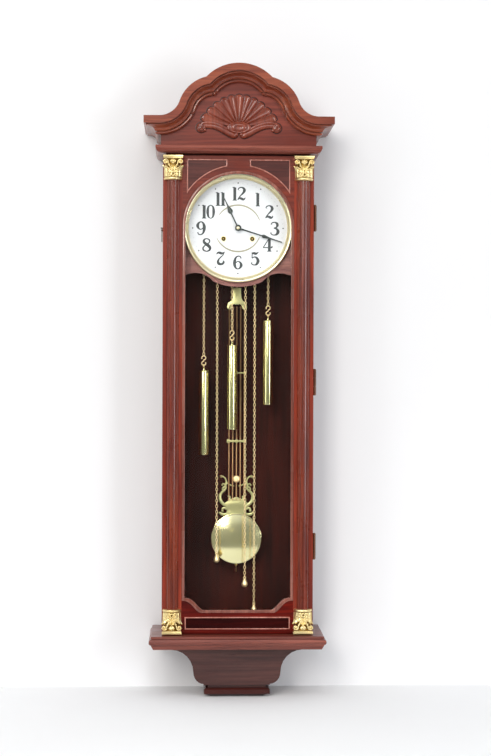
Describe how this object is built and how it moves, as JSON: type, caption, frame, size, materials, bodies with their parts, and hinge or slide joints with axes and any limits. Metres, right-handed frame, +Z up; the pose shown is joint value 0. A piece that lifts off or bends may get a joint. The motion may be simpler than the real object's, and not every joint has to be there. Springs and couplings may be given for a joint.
{
  "type": "pendulum wall clock",
  "caption": "Tall wall clock with an arched crown, a glazed door between fluted columns, a white dial, hanging weights and a lyre pendulum.",
  "frame": {"origin": "centre of the hanger's hole, on the back plane of the case that lies on the wall", "axes": "+X to the right seen from the front, +Y into the wall, +Z up"},
  "size_m": [0.39, 0.177, 1.3012],
  "materials": {
    "case_wood": "gloss",
    "veneer": "gloss",
    "plinth_wood": "gloss",
    "carving_wood": "satin",
    "bead_wood": "gloss",
    "gilt": "satin",
    "brass": "polished",
    "iron": "satin",
    "steel": "satin",
    "glass": "gloss",
    "dial_white": "satin",
    "hand_black": "satin"
  },
  "bodies": {
    "case": {"back_board": "case_wood", "hanger_plate": "steel", "left_side": "case_wood", "right_side": "case_wood", "top_board": "case_wood", "bottom_board": "case_wood", "plinth": "plinth_wood", "bracket_front": "plinth_wood", "bracket_sides": "plinth_wood", "bracket_waist": "plinth_wood", "foot": "plinth_wood", "neck_moulding": "plinth_wood", "crown_field": "veneer", "crown_sides": "case_wood", "crown_moulding": "veneer", "crown_returns": "veneer", "shell_carving": "carving_wood", "case_hinges": "brass", "mask_board": "bead_wood", "dial": "dial_white", "bezel": "gilt", "winding_bushes": "brass", "movement_plates": "brass", "movement_pillars": "brass", "movement_brackets": "steel", "chime_rods": "steel", "sheave_bar": "brass"},
    "door": {"door_left_stile": "veneer", "door_right_stile": "veneer", "door_top_rail": "veneer", "door_bottom_rail": "veneer", "door_lip": "bead_wood", "door_glass": "glass", "glazing_strips": "case_wood", "panel_beads": "bead_wood", "left_column": "veneer", "right_column": "veneer", "upper_capitals": "gilt", "lower_capitals": "gilt", "door_hinge_leaves": "brass", "latch_eye": "iron"},
    "latch_hook": {"latch_hook": "iron"},
    "minute_hand": {"minute_hand": "hand_black"},
    "hour_hand": {"hour_hand": "hand_black"},
    "time_barrel": {"time_barrel": "brass"},
    "strike_barrel": {"strike_barrel": "brass"},
    "time_winder": {"time_winder": "steel"},
    "strike_winder": {"strike_winder": "steel"},
    "crutch": {"crutch": "steel"},
    "left_hammer": {"left_hammer": "brass"},
    "right_hammer": {"right_hammer": "brass"},
    "left_weight": {"left_weight": "brass"},
    "middle_weight": {"middle_weight": "brass"},
    "right_weight": {"right_weight": "brass"},
    "left_tail": {"left_chain_tail": "brass"},
    "middle_tail": {"middle_chain_tail": "brass"},
    "right_tail": {"right_chain_tail": "brass"},
    "pendulum": {"pendulum_frame": "brass", "bob": "brass"},
    "rating_nut": {"rating_nut": "brass"}
  },
  "joints": [
    {"name": "door_hinge", "type": "hinge", "parent": "case", "child": "door", "pos_m": [0.1592, -0.11875, -0.4095], "axis": [0, 0, 1], "range_deg": [0, 105]},
    {"name": "latch_pivot", "type": "hinge", "parent": "case", "child": "latch_hook", "pos_m": [-0.155, -0.106, -0.0955], "axis": [-1, 0, 0], "range_deg": [-30, 90]},
    {"name": "minute_arbor", "type": "hinge", "parent": "case", "child": "minute_hand", "pos_m": [0, -0.1, -0.09], "axis": [0, 1, 0], "continuous": true},
    {"name": "hour_pipe", "type": "hinge", "parent": "case", "child": "hour_hand", "pos_m": [0, -0.1, -0.09], "axis": [0, 1, 0], "continuous": true},
    {"name": "time_barrel_turn", "type": "hinge", "parent": "case", "child": "time_barrel", "pos_m": [0.03, -0.075, -0.112], "axis": [0, 1, 0], "continuous": true},
    {"name": "strike_barrel_turn", "type": "hinge", "parent": "case", "child": "strike_barrel", "pos_m": [-0.03, -0.075, -0.112], "axis": [0, 1, 0], "continuous": true},
    {"name": "time_winding", "type": "hinge", "parent": "case", "child": "time_winder", "pos_m": [0.03, -0.075, -0.112], "axis": [0, 1, 0], "continuous": true},
    {"name": "strike_winding", "type": "hinge", "parent": "case", "child": "strike_winder", "pos_m": [-0.03, -0.075, -0.112], "axis": [0, 1, 0], "continuous": true},
    {"name": "pendulum_swing", "type": "hinge", "parent": "case", "child": "pendulum", "pos_m": [0, -0.045, -0.055], "axis": [0, 1, 0], "range_deg": [-3, 3]},
    {"name": "crutch_swing", "type": "hinge", "parent": "case", "child": "crutch", "pos_m": [0, -0.045, -0.055], "axis": [0, 1, 0], "range_deg": [-3, 3]},
    {"name": "rating_nut_turn", "type": "hinge", "parent": "pendulum", "child": "rating_nut", "pos_m": [0, -0.045, -0.795], "axis": [0, 0, 1], "continuous": true},
    {"name": "left_hammer_swing", "type": "hinge", "parent": "case", "child": "left_hammer", "pos_m": [-0.036, -0.034, -0.055], "axis": [0, 1, 0], "range_deg": [-12, 3], "stiffness_Nm_per_rad": 0.15},
    {"name": "right_hammer_swing", "type": "hinge", "parent": "case", "child": "right_hammer", "pos_m": [0.036, -0.034, -0.055], "axis": [0, 1, 0], "range_deg": [-3, 12], "stiffness_Nm_per_rad": 0.15},
    {"name": "left_weight_sway", "type": "hinge", "parent": "case", "child": "left_weight", "pos_m": [-0.07, -0.075, -0.1715], "axis": [0, 1, 0], "range_deg": [-1, 1]},
    {"name": "middle_weight_sway", "type": "hinge", "parent": "case", "child": "middle_weight", "pos_m": [-0.011, -0.075, -0.1715], "axis": [0, 1, 0], "range_deg": [-1, 1]},
    {"name": "right_weight_sway", "type": "hinge", "parent": "case", "child": "right_weight", "pos_m": [0.0645, -0.075, -0.1715], "axis": [0, 1, 0], "range_deg": [-1, 1]},
    {"name": "left_tail_sway", "type": "hinge", "parent": "case", "child": "left_tail", "pos_m": [-0.042, -0.075, -0.1715], "axis": [0, 1, 0], "range_deg": [-0.8, 0.8]},
    {"name": "middle_tail_sway", "type": "hinge", "parent": "case", "child": "middle_tail", "pos_m": [0.017, -0.075, -0.1715], "axis": [0, 1, 0], "range_deg": [-0.8, 0.8]},
    {"name": "right_tail_sway", "type": "hinge", "parent": "case", "child": "right_tail", "pos_m": [0.0365, -0.075, -0.1715], "axis": [0, 1, 0], "range_deg": [-0.8, 0.8]}
  ],
  "couplings": [
    {"joint": "hour_pipe", "follows": "minute_arbor", "ratio": 0.083333},
    {"joint": "time_barrel_turn", "follows": "minute_arbor", "ratio": 0.02},
    {"joint": "crutch_swing", "follows": "pendulum_swing", "ratio": 1}
  ]
}
